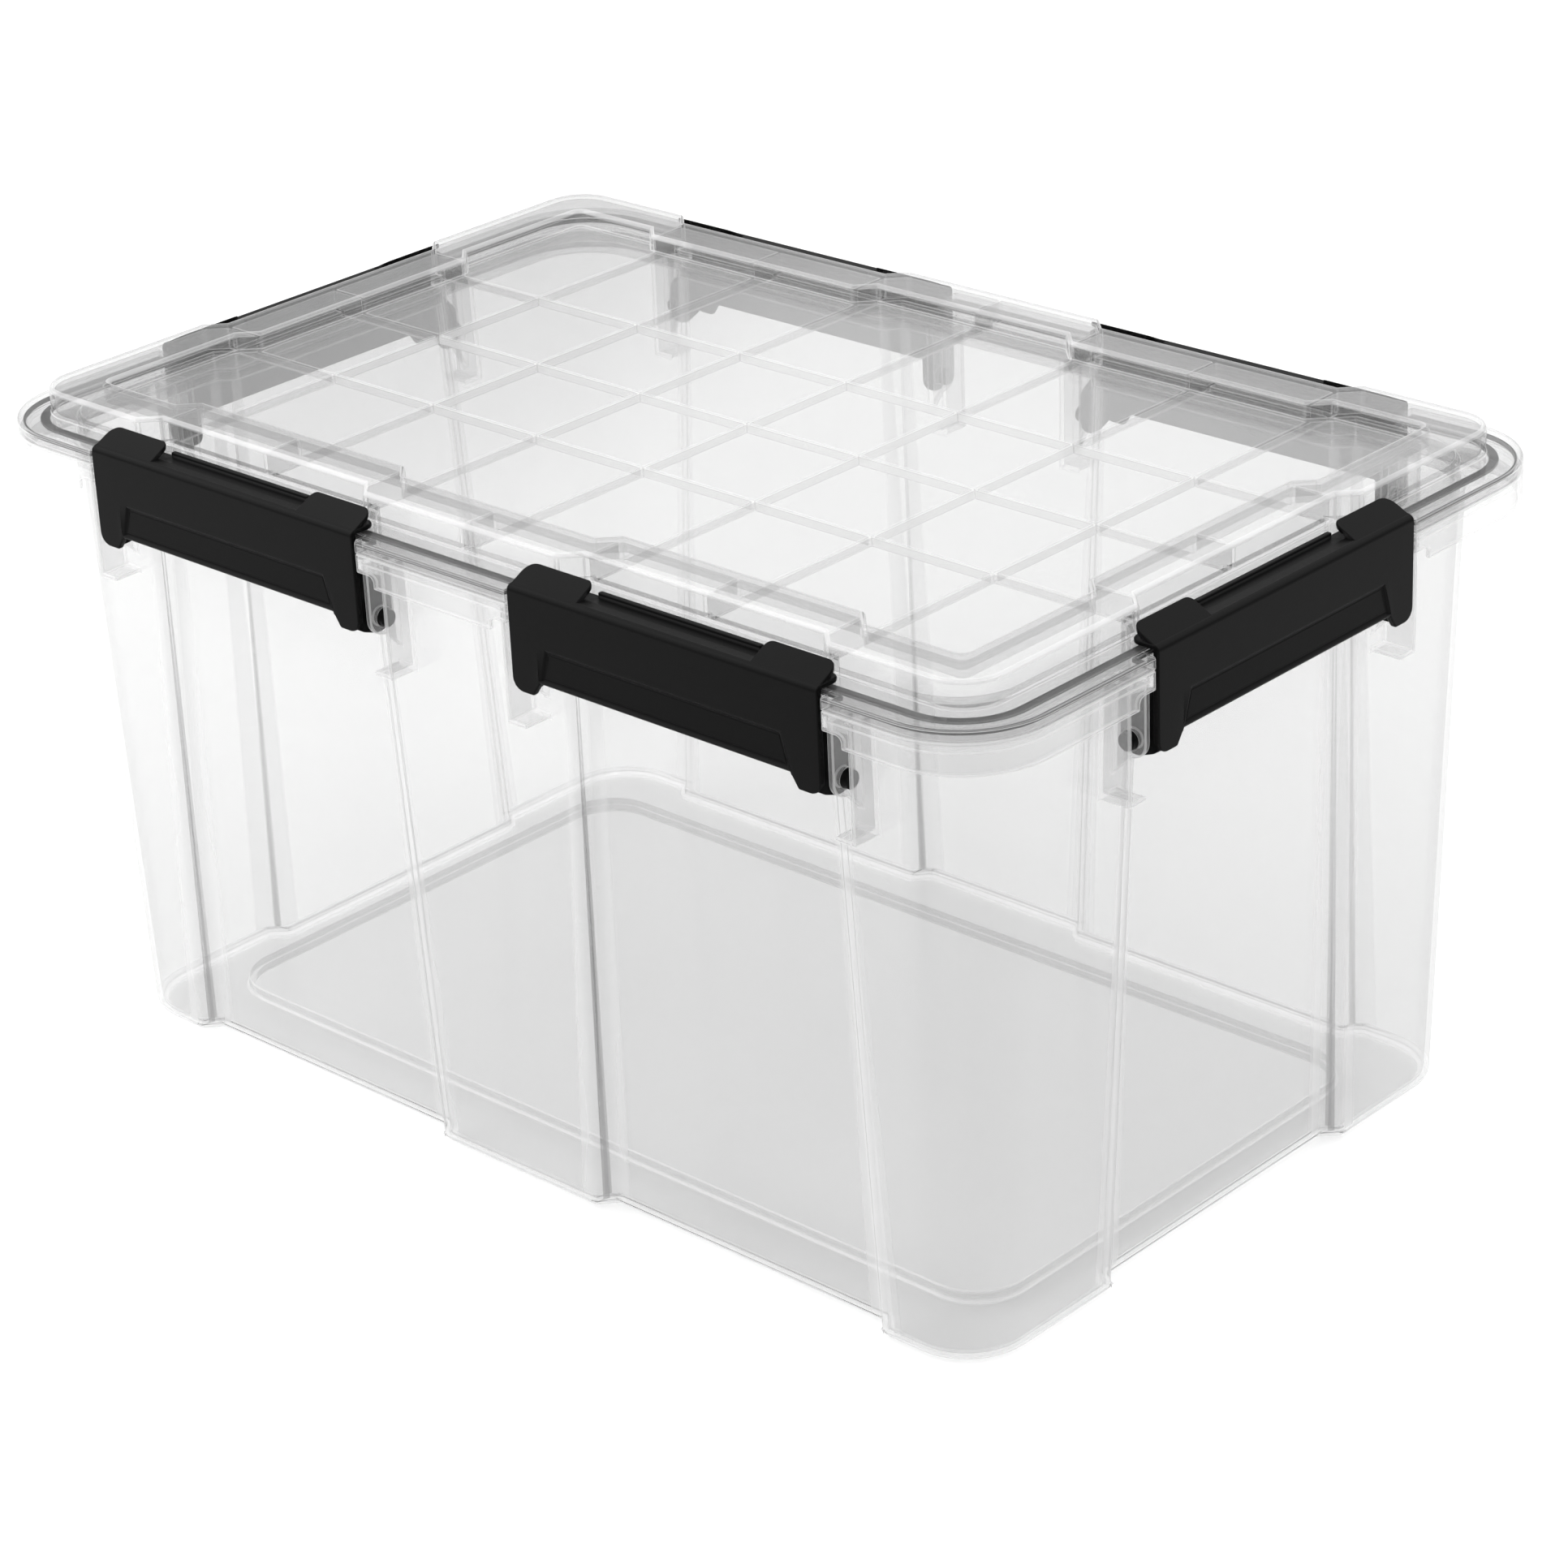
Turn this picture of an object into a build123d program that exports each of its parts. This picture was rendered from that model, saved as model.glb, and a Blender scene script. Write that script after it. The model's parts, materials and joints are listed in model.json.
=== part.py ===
"""Clear storage box with a gasketed lid and six snap latches.

Frame: millimetres, +Z up, +X along the long side. The origin is the centre of the underside
of the base, on the surface that the box stands on. The front is the long side at -Y.
"""

import os
from math import sqrt

from build123d import *

os.makedirs("parts", exist_ok=True)

# ---- Driving dimensions -------------------------------------------------------------------
# Rim, the widest part of the box
rim_length = 600.0
rim_width = 392.0
rim_radius = 43.0
rim_z = 296.0  # seat that the gasket lies on
rim_plate = 2.4
rim_overhang = 20.0  # rim past the mouth of the walls
skirt_wall = 2.4
skirt_drop = 11.5  # rim seat down to the lower edge of the skirt
skirt_rise = 2.7  # rim seat up to its upper edge

# Walls, drafted outwards from the base to the mouth
end_draft = 10.0
side_draft = 5.0
base_radius = 32.0
mouth_radius = 34.0
wall = 2.4
floor_thick = 2.6
base_ease = 3.0

# Panels sunk into the walls below the latches
panel_depth = 8.0
panel_slope = 7.0  # run of each sloped edge along the wall
long_panel_base = 78.0  # half length of a long side's panel at the base
long_panel_mouth = 66.0
short_panel_base = 76.0
short_panel_mouth = 66.0

# Raised middle of the floor
dais_end_gap = 28.0  # base outline to the raised middle, at the ends and along the sides
dais_side_gap = 38.0
dais_radius = 26.0
dais_rise = 5.0

# Gasket
gasket_width = 5.5
gasket_height = 7.0
gasket_inset = 10.0  # rim to the outside of the gasket

# Lid
flange_plate = 2.4
flange_ease = 2.0  # round of its outer edge, which lets the hooks swing past
lip_wall = 2.4
lip_gap = 0.3  # skirt to the lip of the flange
frame_rise = 12.6  # flange to the top of the raised frame
frame_wall = 2.2
frame_inset = 18.0  # rim to the outside of the frame
frame_setback = 8.5  # further inset of the frame behind a latch
frame_thick = 24.5  # width of the frame seen from above
frame_radius = 20.0
frame_inner_radius = 4.0
setback_half = 66.5  # half length of a setback
setback_slope = 8.5  # run of its sloped ends
panel_sink = 8.0  # frame top down to the sunk middle panel
plug_wall = 2.0
plug_drop = 5.5  # rim seat down to the lower edge of the plug
plug_clear = 0.6

# Grid of ribs under the lid's panel
rib_pitch = 66.5
rib_thick = 1.6
rib_depth = 4.4
long_ribs = 3
cross_ribs = 7

# Latches
latch_half = 86.0
latch_end_gap = 81.0  # end of the rim to the nearest end of a long side's latch
latch_wall = 3.0
latch_round = 3.0  # bend from the outer face to the hook
hook_plate = 2.2
hook_clear = 0.6  # flange to the hook plate
hook_reach = 15.0  # outer face to the inner edge of the hook
rail_clear = 0.4  # flange to the rail
rail_half = 45.0
rail_thick = 2.5
rail_rise = 1.4
tab_near = 48.0
tab_reach = 12.0
tab_rise = 5.8
tab_taper = 5.0
leg_thick = 3.5
leg_drop = 7.0  # rim seat down to the top of a leg
leg_slope = 9.0
grip_half = 70.0
grip_taper = 5.0
grip_height = 16.5
grip_depth = 1.0

# Hinge of each latch: stub pins that turn in ears under the rim
pin_drop = 30.0  # rim seat down to the axis of the pins
pin_radius = 4.0
pin_clear = 0.08
pin_tip = 3.0  # pin past the outside of its ear
pin_to_wall = 1.0  # axis of the pins up to the lower edge of the outer face
lobe_radius = 8.0
ear_thick = 3.0
ear_gap = 0.5
ear_radius = 8.0
post_span = 11.0  # ear to the far side of its post
post_wall = 2.0
post_front = 6.0  # rim to the front of the post
post_drop = 26.0  # axis of the pins down to the foot of the post

# Notch in the rim for each latch
notch_clear = 1.5
notch_depth = 5.0
step_span = 10.0
step_drop = 6.0  # rim seat down to the top of the step in the skirt
step_radius = 3.0

# ---- Derived places -----------------------------------------------------------------------
half_length, half_width = rim_length / 2, rim_width / 2
mouth_length, mouth_width = rim_length - 2 * rim_overhang, rim_width - 2 * rim_overhang
base_length, base_width = mouth_length - 2 * end_draft, mouth_width - 2 * side_draft
dais_length, dais_width = base_length - 2 * dais_end_gap, base_width - 2 * dais_side_gap
latch_offset = half_length - latch_end_gap - latch_half

plate_low_z = rim_z - rim_plate
skirt_low_z, skirt_high_z = rim_z - skirt_drop, rim_z + skirt_rise
step_z = rim_z - step_drop
gasket_top_z = rim_z + gasket_height
flange_z = gasket_top_z + flange_plate
lip_low_z = skirt_high_z + lip_gap
frame_z = flange_z + frame_rise
panel_z = frame_z - panel_sink
rib_low_z = panel_z - frame_wall - rib_depth
plug_low_z = rim_z - plug_drop
plug_inset = wall + plug_clear

hook_low_z = flange_z + hook_clear
latch_top_z = hook_low_z + hook_plate
rail_low_z = flange_z + rail_clear
tab_z = latch_top_z + tab_rise
leg_high_z = rim_z - leg_drop
leg_depth = rim_overhang  # the draft of the walls leaves the legs clear of them
pin_z = rim_z - pin_drop
pin_inset = leg_depth - lobe_radius
latch_low_z = pin_z + pin_to_wall
grip_high_z = latch_low_z + grip_height
post_low_z = pin_z - post_drop
notch_half = latch_half + notch_clear
ear_near = latch_half + ear_gap
post_far = ear_near + post_span

# Middle of each latch's outer face, and the turn that takes the front side to its side
latch_places = {
    "front_left": Location((-latch_offset, -half_width, 0)),
    "front_right": Location((latch_offset, -half_width, 0)),
    "back_left": Location((-latch_offset, half_width, 0), (0, 0, 180)),
    "back_right": Location((latch_offset, half_width, 0), (0, 0, 180)),
    "left": Location((-half_length, 0, 0), (0, 0, -90)),
    "right": Location((half_length, 0, 0), (0, 0, 90)),
}


def wall_outline(length, width, radius, long_half, short_half, height):
    """Outline of the walls at one height, with a sunk panel of that half length per latch."""
    with BuildSketch(Plane.XY.offset(height)) as outline:
        RectangleRounded(length, width, radius)
        places = [
            (Location((side * latch_offset, turn * width / 2), 90 - turn * 90), long_half)
            for side in (-1, 1)
            for turn in (-1, 1)
        ]
        places += [(Location((turn * length / 2, 0), turn * -90), short_half) for turn in (-1, 1)]
        for place, half in places:
            with Locations(place):
                Polygon(
                    (-half - panel_slope, 0),
                    (-half, -panel_depth),
                    (half, -panel_depth),
                    (half + panel_slope, 0),
                    align=None,
                    mode=Mode.SUBTRACT,
                )
    return outline.sketch


def rim_outline(inset, height, notch_inset=None):
    """Outline of the rim moved inwards, with or without the notches for the latches."""
    with BuildSketch(Plane.XY.offset(height)) as outline:
        RectangleRounded(rim_length - 2 * inset, rim_width - 2 * inset, rim_radius - inset)
        if notch_inset is not None:
            for place in latch_places.values():
                with Locations(Location(place.position, place.orientation)):
                    Rectangle(2 * (notch_half + inset), 2 * notch_inset, mode=Mode.SUBTRACT)
    return outline.sketch


def frame_outline(inset, height):
    """Outline of the raised frame of the lid, moved inwards by an inset, with its setbacks."""
    with BuildSketch(Plane.XY.offset(height)) as outline:
        RectangleRounded(
            rim_length - 2 * (frame_inset + inset),
            rim_width - 2 * (frame_inset + inset),
            max(frame_radius - inset, frame_inner_radius),
        )
        edge = frame_inset + inset
        for place in latch_places.values():
            with Locations(place):
                Polygon(
                    (-setback_half - setback_slope, edge),
                    (-setback_half, edge + frame_setback),
                    (setback_half, edge + frame_setback),
                    (setback_half + setback_slope, edge),
                    align=None,
                    mode=Mode.SUBTRACT,
                )
    return outline.sketch


def ring(outer, inner, height):
    """Prism of an outline with the inner outline left open."""
    with BuildPart() as body:
        add(outer)
        extrude(amount=height)
        add(inner)
        extrude(amount=height, mode=Mode.SUBTRACT)
    return body.part


# ---- Bin ----------------------------------------------------------------------------------
def moved_in(outline, inset, height):
    """Outline moved in by an inset, on a plane at a height."""
    with BuildSketch(Plane.XY.offset(height)) as inner:
        add(outline.moved(Location((0, 0, height - outline.bounding_box().min.Z))))
        offset(amount=-inset, kind=Kind.INTERSECTION)
    return inner.sketch


def ear_post():
    """Ear and post at the right-hand end of a latch, in the frame of the latch."""
    back = rim_overhang + panel_depth + wall  # inside face of the sunk panel
    front = pin_inset - ear_radius
    with BuildPart() as post:
        with BuildSketch(Plane.YZ.offset(ear_near)):
            with Locations((pin_inset, pin_z)):
                Circle(ear_radius)
            with BuildLine():
                Polyline(
                    (front, plate_low_z),
                    (front, pin_z),
                    (pin_inset, pin_z - ear_radius),
                    (back, post_low_z),
                    (back, plate_low_z),
                    close=True,
                )
            make_face()
        extrude(amount=ear_thick)
        with BuildSketch(Plane.YZ.offset(post_far - post_wall)):
            with BuildLine():
                Polyline(
                    (post_front, plate_low_z),
                    (post_front, post_low_z),
                    (back, post_low_z),
                    (back, plate_low_z),
                    close=True,
                )
            make_face()
        extrude(amount=post_wall)
        with BuildSketch(Plane.XY.offset(post_low_z)):
            with Locations(((ear_near + post_far) / 2, (post_front + back) / 2)):
                Rectangle(post_span, back - post_front)
        extrude(amount=post_wall)
        with BuildSketch(Plane.YZ.offset(ear_near)):
            with Locations((pin_inset, pin_z)):
                Circle(pin_radius + pin_clear)
        extrude(amount=ear_thick, mode=Mode.SUBTRACT)
    return post.part


# The eased edge of the cavity runs parallel to the outer one, a wall further in
cavity_ease = base_ease + wall * sqrt(2) - floor_thick
cavity_ease_z = floor_thick + cavity_ease - wall

base_outline = wall_outline(
    base_length, base_width, base_radius, long_panel_base, short_panel_base, base_ease
)
mouth_outline = wall_outline(
    mouth_length, mouth_width, mouth_radius, long_panel_mouth, short_panel_mouth, rim_z
)

with BuildPart() as cavity:
    add(moved_in(base_outline, wall, cavity_ease_z))
    add(moved_in(mouth_outline, wall, rim_z))
    loft(ruled=True)
    add(moved_in(base_outline, cavity_ease, floor_thick))
    add(moved_in(base_outline, wall, cavity_ease_z))
    loft(ruled=True)
    with BuildSketch(Plane.XY.offset(floor_thick)):
        RectangleRounded(dais_length, dais_width, dais_radius)
    extrude(amount=dais_rise, mode=Mode.SUBTRACT)

with BuildPart() as bin_tub:
    # Walls, with an eased edge round the base
    add(base_outline)
    add(mouth_outline)
    loft(ruled=True)
    add(moved_in(base_outline, base_ease, 0))
    add(base_outline)
    loft(ruled=True)
    # Rim plate and skirt, notched for the latches
    add(rim_outline(0, plate_low_z, notch_depth))
    extrude(amount=rim_plate)
    add(
        ring(
            rim_outline(0, skirt_low_z, notch_depth),
            rim_outline(skirt_wall, skirt_low_z),
            skirt_high_z - skirt_low_z,
        )
    )
    # Steps cut up into the skirt beside each latch
    for place in latch_places.values():
        with BuildSketch(Plane.XZ) as step:
            with Locations((0, skirt_low_z)):
                Rectangle(2 * (notch_half + step_span), 2 * (step_z - skirt_low_z))
            fillet(step.vertices(), step_radius)
        add(extrude(step.sketch, amount=-skirt_wall).moved(place), mode=Mode.SUBTRACT)
    # Ears and posts of the hinges
    for place in latch_places.values():
        for post in (ear_post(), ear_post().mirror(Plane.YZ)):
            add(post.moved(place))
    add(cavity.part, mode=Mode.SUBTRACT)
    # Underside of the raised middle of the floor
    with BuildSketch():
        RectangleRounded(
            dais_length - 2 * floor_thick, dais_width - 2 * floor_thick, dais_radius - floor_thick
        )
    extrude(amount=dais_rise, mode=Mode.SUBTRACT)
bin_tub.part.label = "bin_tub"
export_step(bin_tub.part, "parts/bin_tub.step")


# ---- Lid ----------------------------------------------------------------------------------
with BuildPart() as lid:
    # Flange with its lip, notched for the latches
    add(rim_outline(0, lip_low_z, notch_depth))
    extrude(amount=flange_z - lip_low_z)
    fillet(lid.edges().group_by(Axis.Z)[-1], flange_ease)
    add(rim_outline(lip_wall, lip_low_z, notch_depth + lip_wall))
    extrude(amount=gasket_top_z - lip_low_z, mode=Mode.SUBTRACT)
    # Raised frame, still solid
    add(frame_outline(0, gasket_top_z))
    extrude(amount=frame_z - gasket_top_z)
    # Hollow of the frame and underside of the panel
    add(frame_outline(frame_wall, gasket_top_z))
    extrude(amount=panel_z - frame_wall - gasket_top_z, mode=Mode.SUBTRACT)
    add(frame_outline(frame_wall, panel_z - frame_wall))
    extrude(amount=frame_z - panel_z, mode=Mode.SUBTRACT)
    add(frame_outline(frame_thick - frame_wall, panel_z - frame_wall))
    extrude(amount=frame_z - panel_z)
    # Grid of ribs, clipped to the hollow of the frame
    with BuildSketch(Plane.XY.offset(rib_low_z)):
        add(frame_outline(frame_wall / 2, rib_low_z))
        with BuildSketch(mode=Mode.INTERSECT):
            with GridLocations(rib_pitch, 0, cross_ribs, 1):
                Rectangle(rib_thick, rim_width)
            with GridLocations(0, rib_pitch, 1, long_ribs):
                Rectangle(rim_length, rib_thick)
    extrude(amount=frame_z - frame_wall / 2 - rib_low_z)
    # Sunk middle panel
    add(frame_outline(frame_thick, panel_z))
    extrude(amount=frame_z - panel_z, mode=Mode.SUBTRACT)
    # Ledge and plug that drop inside the mouth of the bin
    add(
        ring(
            frame_outline(frame_wall / 2, gasket_top_z),
            moved_in(mouth_outline, plug_inset + plug_wall, gasket_top_z),
            flange_plate,
        )
    )
    add(
        ring(
            moved_in(mouth_outline, plug_inset, plug_low_z),
            moved_in(mouth_outline, plug_inset + plug_wall, plug_low_z),
            flange_z - plug_low_z,
        )
    )
lid.part.label = "lid"
export_step(lid.part, "parts/lid.step")


# ---- Gasket -------------------------------------------------------------------------------
with BuildPart() as gasket:
    with BuildSketch(Plane.XY.offset(rim_z)):
        for inset, mode in ((gasket_inset, Mode.ADD), (gasket_inset + gasket_width, Mode.SUBTRACT)):
            RectangleRounded(
                rim_length - 2 * inset, rim_width - 2 * inset, rim_radius - inset, mode=mode
            )
    extrude(amount=gasket_height)
gasket.part.label = "lid_gasket"
export_step(gasket.part, "parts/lid_gasket.step")


# ---- Latches ------------------------------------------------------------------------------
def latch_leg():
    """Leg and stub pin at the right-hand end of a latch, in the frame of the latch."""
    with BuildPart() as leg:
        with BuildSketch(Plane.YZ.offset(latch_half - leg_thick)):
            with Locations((pin_inset, pin_z)):
                Circle(lobe_radius)
            with BuildLine():
                Polyline(
                    (0, pin_z - lobe_radius / 4),
                    (0, leg_high_z),
                    (latch_wall + 2, leg_high_z),
                    (leg_depth, leg_high_z - leg_slope),
                    (leg_depth, pin_z),
                    (pin_inset, pin_z - lobe_radius),
                    (pin_inset / 2, pin_z - lobe_radius + 1),
                    close=True,
                )
            make_face()
        extrude(amount=leg_thick)
        with BuildSketch(Plane.YZ.offset(latch_half)):
            with Locations((pin_inset, pin_z)):
                Circle(pin_radius)
        extrude(amount=ear_gap + ear_thick + pin_tip)
    return leg.part


def hook_tab():
    """Raised tab at the right-hand end of the hook, in the frame of the latch."""
    with BuildPart() as tab:
        with BuildSketch(Plane.YZ.offset(tab_near)):
            with BuildLine():
                Polyline(
                    (0, hook_low_z),
                    (0, latch_top_z),
                    (tab_reach, tab_z),
                    (tab_reach, tab_z - hook_plate),
                    (latch_wall, hook_low_z),
                    close=True,
                )
            make_face()
        extrude(amount=latch_half - tab_near)
        with BuildSketch(Plane.XY.offset(hook_low_z)):
            with BuildLine():
                Polyline(
                    (tab_near - tab_taper, 0),
                    (tab_near + tab_taper, tab_reach),
                    (latch_half - tab_taper, tab_reach),
                    (latch_half, tab_reach / 2),
                    (latch_half, 0),
                    close=True,
                )
            make_face()
        extrude(amount=tab_z - hook_low_z, mode=Mode.INTERSECT)
    return tab.part


with BuildPart() as latch_body:
    # Outer wall between the legs, and the hook plate over the lid's flange
    with BuildSketch(Plane.YZ):
        with BuildLine():
            Polyline(
                (0, latch_low_z),
                (0, latch_top_z),
                (hook_reach, latch_top_z),
                (hook_reach, hook_low_z),
                (latch_wall, hook_low_z),
                (latch_wall, latch_low_z),
                close=True,
            )
        make_face()
    extrude(amount=latch_half, both=True)
    outer_edges = latch_body.edges().filter_by(Axis.X).group_by(Axis.Y)[0]
    fillet(outer_edges.sort_by(Axis.Z)[-1], latch_round)
    # Rail along the inner edge of the hook
    with BuildSketch(Plane.YZ):
        with Locations((hook_reach - rail_thick, rail_low_z)):
            Rectangle(rail_thick, latch_top_z + rail_rise - rail_low_z, align=Align.MIN)
    extrude(amount=rail_half, both=True)
    for end in (latch_leg(), hook_tab()):
        add(end)
        add(end.mirror(Plane.YZ))
    # Grip sunk into the outer face
    with BuildSketch(Plane.XZ):
        with BuildLine():
            Polyline(
                (-grip_half, latch_low_z),
                (grip_taper - grip_half, grip_high_z),
                (grip_half - grip_taper, grip_high_z),
                (grip_half, latch_low_z),
                close=True,
            )
        make_face()
    extrude(amount=-grip_depth, mode=Mode.SUBTRACT)

for side, place in latch_places.items():
    latch = latch_body.part.moved(place)
    latch.label = f"latch_{side}"
    export_step(latch, f"parts/latch_{side}.step")
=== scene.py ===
"""Looks of a clear storage box with a gasketed lid and six black snap latches.

Frame: metres, +Z up, +X along the long side, origin at the centre of the underside of the base.
The front is the long side at -Y. Sizes are given in millimetres and scaled by MM.
"""

import json
import logging
import math
from collections.abc import Callable, Iterable
from dataclasses import dataclass, field
from enum import Enum

import bmesh
import bpy
from mathutils import Matrix, Vector

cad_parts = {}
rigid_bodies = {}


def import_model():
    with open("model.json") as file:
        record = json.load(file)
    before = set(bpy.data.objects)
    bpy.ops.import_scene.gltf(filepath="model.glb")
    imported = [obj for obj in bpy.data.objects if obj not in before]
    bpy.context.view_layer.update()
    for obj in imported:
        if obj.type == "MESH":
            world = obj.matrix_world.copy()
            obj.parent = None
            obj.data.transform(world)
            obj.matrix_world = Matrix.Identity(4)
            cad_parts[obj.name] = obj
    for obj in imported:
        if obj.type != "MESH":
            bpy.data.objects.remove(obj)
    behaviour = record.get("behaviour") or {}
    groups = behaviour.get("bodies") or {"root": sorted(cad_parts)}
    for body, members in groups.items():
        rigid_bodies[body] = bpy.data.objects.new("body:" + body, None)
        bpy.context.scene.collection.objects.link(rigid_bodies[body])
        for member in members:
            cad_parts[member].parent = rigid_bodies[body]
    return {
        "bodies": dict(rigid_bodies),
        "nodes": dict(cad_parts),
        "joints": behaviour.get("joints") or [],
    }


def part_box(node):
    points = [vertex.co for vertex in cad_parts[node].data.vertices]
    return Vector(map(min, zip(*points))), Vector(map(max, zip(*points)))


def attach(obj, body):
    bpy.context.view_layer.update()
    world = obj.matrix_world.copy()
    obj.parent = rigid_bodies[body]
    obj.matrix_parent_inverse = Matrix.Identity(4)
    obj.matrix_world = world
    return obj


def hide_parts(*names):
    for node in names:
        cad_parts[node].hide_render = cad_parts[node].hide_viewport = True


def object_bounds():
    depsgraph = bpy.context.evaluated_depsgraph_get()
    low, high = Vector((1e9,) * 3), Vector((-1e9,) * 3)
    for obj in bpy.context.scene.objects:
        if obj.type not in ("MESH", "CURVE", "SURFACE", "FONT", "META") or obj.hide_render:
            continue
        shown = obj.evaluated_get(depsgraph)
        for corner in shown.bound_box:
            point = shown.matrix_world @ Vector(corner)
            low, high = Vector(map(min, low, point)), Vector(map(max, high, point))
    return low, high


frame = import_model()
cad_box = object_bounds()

MM = 0.001
PLACE_SLACK = 0.05  # mm within which an edge or a face counts as lying at a place
LID_SLACK = 0.1  # the same on the lid and the gasket
log = logging.getLogger("storage_box")


# ---- Colour and nodes ---------------------------------------------------------------------
def linear(hex_colour: str) -> tuple[float, float, float, float]:
    """Turn an sRGB hex colour into linear RGBA.

    Args:
        hex_colour: six hex digits, such as "d8d8d8".

    Returns:
        The linear red, green, blue and an alpha of 1.
    """
    channels = [int(hex_colour[start : start + 2], 16) / 255 for start in (0, 2, 4)]
    bent = [c / 12.92 if c <= 0.04045 else ((c + 0.055) / 1.055) ** 2.4 for c in channels]
    return (bent[0], bent[1], bent[2], 1.0)


def add_node(
    tree: bpy.types.NodeTree,
    kind: str,
    settings: dict[str, object] | None = None,
    inputs: dict[str | int, object] | None = None,
) -> bpy.types.Node:
    """Add a node with its settings, values and links.

    Args:
        tree: the node tree that gets the node.
        kind: the node's type, such as "ShaderNodeTexNoise".
        settings: attributes of the node itself.
        inputs: for each input, a plain value or the output socket that feeds it.

    Returns:
        The new node.
    """
    node = tree.nodes.new(kind)
    for name, value in (settings or {}).items():
        setattr(node, name, value)
    for name, value in (inputs or {}).items():
        if isinstance(value, bpy.types.NodeSocket):
            tree.links.new(value, node.inputs[name])
        else:
            node.inputs[name].default_value = value
    return node


def new_material(name: str) -> tuple[bpy.types.Material, bpy.types.NodeTree, bpy.types.Node]:
    """Make an empty node material.

    Args:
        name: the material's name.

    Returns:
        The material, its tree and its output node.
    """
    material = bpy.data.materials.new(name)
    material.use_nodes = True
    material.node_tree.nodes.clear()
    output = add_node(material.node_tree, "ShaderNodeOutputMaterial")
    return material, material.node_tree, output


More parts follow.
